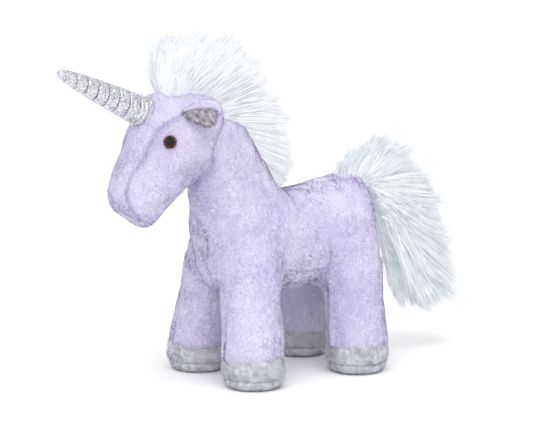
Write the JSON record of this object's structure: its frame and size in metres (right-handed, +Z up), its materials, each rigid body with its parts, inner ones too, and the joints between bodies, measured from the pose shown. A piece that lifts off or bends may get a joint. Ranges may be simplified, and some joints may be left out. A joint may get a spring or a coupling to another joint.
{
  "type": "plush unicorn",
  "caption": "Standing stuffed toy unicorn with short-pile body, long-pile mane and tail, wound fabric horn, soft ears and plush hooves on bending legs.",
  "frame": {"origin": "middle of the bounding box on the floor plane under the toy", "axes": "+Z up, the toy faces -Y, its left side is +X"},
  "size_m": [0.0928, 0.2805, 0.2027],
  "materials": {
    "lavender_plush": "short pile plush",
    "white_pile": "long pile fur fabric",
    "grey_plush": "short pile plush",
    "horn_fabric": "metallic woven fabric",
    "horn_thread": "wound thread",
    "eye_thread": "satin embroidery",
    "pupil_thread": "satin embroidery",
    "stuffing": "fibre filling"
  },
  "bodies": {
    "torso": {"torso_side_left": "lavender_plush", "torso_side_right": "lavender_plush", "torso_belly_gusset": "lavender_plush", "torso_stuffing": "stuffing"},
    "neck": {"neck_panel_left": "lavender_plush", "neck_panel_right": "lavender_plush", "neck_stuffing": "stuffing", "mane_neck_backing": "white_pile", "mane_neck_pile": "white_pile"},
    "head": {"head_side_left": "lavender_plush", "head_side_right": "lavender_plush", "head_forehead_gusset": "lavender_plush", "head_chin_gusset": "lavender_plush", "head_stuffing": "stuffing", "eye_ring_left": "eye_thread", "eye_pupil_left": "pupil_thread", "eye_ring_right": "eye_thread", "eye_pupil_right": "pupil_thread", "mane_head_backing": "white_pile", "mane_head_pile": "white_pile"},
    "horn": {"horn_cover": "horn_fabric", "horn_stuffing": "stuffing", "horn_thread": "horn_thread"},
    "ear_left": {"ear_outer_left": "lavender_plush", "ear_lining_left": "grey_plush"},
    "ear_right": {"ear_outer_right": "lavender_plush", "ear_lining_right": "grey_plush"},
    "leg_front_left": {"leg_front_left_outer_panel": "lavender_plush", "leg_front_left_inner_panel": "lavender_plush", "leg_front_left_stuffing": "stuffing", "hoof_front_left_band": "grey_plush", "hoof_front_left_sole": "grey_plush"},
    "leg_front_right": {"leg_front_right_outer_panel": "lavender_plush", "leg_front_right_inner_panel": "lavender_plush", "leg_front_right_stuffing": "stuffing", "hoof_front_right_band": "grey_plush", "hoof_front_right_sole": "grey_plush"},
    "leg_hind_left": {"leg_hind_left_outer_panel": "lavender_plush", "leg_hind_left_inner_panel": "lavender_plush", "leg_hind_left_stuffing": "stuffing", "hoof_hind_left_band": "grey_plush", "hoof_hind_left_sole": "grey_plush"},
    "leg_hind_right": {"leg_hind_right_outer_panel": "lavender_plush", "leg_hind_right_inner_panel": "lavender_plush", "leg_hind_right_stuffing": "stuffing", "hoof_hind_right_band": "grey_plush", "hoof_hind_right_sole": "grey_plush"},
    "tail_root": {"tail_root": "lavender_plush"},
    "tail": {"tail_backing": "white_pile", "tail_pile": "white_pile"}
  },
  "joints": [
    {"name": "neck_bend", "type": "hinge", "parent": "torso", "child": "neck", "pos_m": [0, -0.0196, 0.092], "axis": [1, 0, 0], "range_deg": [-12, 12], "stiffness_Nm_per_rad": 0.6},
    {"name": "head_turn", "type": "hinge", "parent": "neck", "child": "head", "pos_m": [0, -0.03624, 0.13489], "axis": [0, -0.3616, 0.9323], "range_deg": [-25, 25], "stiffness_Nm_per_rad": 0.3},
    {"name": "horn_wobble", "type": "hinge", "parent": "head", "child": "horn", "pos_m": [0, -0.0871, 0.1596], "axis": [1, 0, 0], "range_deg": [-8, 8], "stiffness_Nm_per_rad": 0.03},
    {"name": "ear_flop_left", "type": "hinge", "parent": "head", "child": "ear_left", "pos_m": [0.0215, -0.0571, 0.1595], "axis": [0, -1, 0], "range_deg": [-12, 45], "stiffness_Nm_per_rad": 0.001},
    {"name": "ear_flop_right", "type": "hinge", "parent": "head", "child": "ear_right", "pos_m": [-0.0215, -0.0571, 0.1595], "axis": [0, 1, 0], "range_deg": [-12, 45], "stiffness_Nm_per_rad": 0.001},
    {"name": "hip_front_left", "type": "hinge", "parent": "torso", "child": "leg_front_left", "pos_m": [0.017, -0.0246, 0.065], "axis": [1, 0, 0], "range_deg": [-15, 15], "stiffness_Nm_per_rad": 0.5},
    {"name": "hip_front_right", "type": "hinge", "parent": "torso", "child": "leg_front_right", "pos_m": [-0.017, -0.0246, 0.065], "axis": [1, 0, 0], "range_deg": [-15, 15], "stiffness_Nm_per_rad": 0.5},
    {"name": "hip_hind_left", "type": "hinge", "parent": "torso", "child": "leg_hind_left", "pos_m": [0.017, 0.0444, 0.065], "axis": [1, 0, 0], "range_deg": [-15, 15], "stiffness_Nm_per_rad": 0.5},
    {"name": "hip_hind_right", "type": "hinge", "parent": "torso", "child": "leg_hind_right", "pos_m": [-0.017, 0.0444, 0.065], "axis": [1, 0, 0], "range_deg": [-15, 15], "stiffness_Nm_per_rad": 0.5},
    {"name": "tail_lift", "type": "hinge", "parent": "torso", "child": "tail_root", "pos_m": [0, 0.0589, 0.101], "axis": [1, 0, 0], "range_deg": [-15, 22], "stiffness_Nm_per_rad": 0.15},
    {"name": "tail_swing", "type": "hinge", "parent": "tail_root", "child": "tail", "pos_m": [0, 0.0639, 0.10966], "axis": [0, -0.866, 0.5], "range_deg": [-28, 28], "stiffness_Nm_per_rad": 0.1}
  ]
}
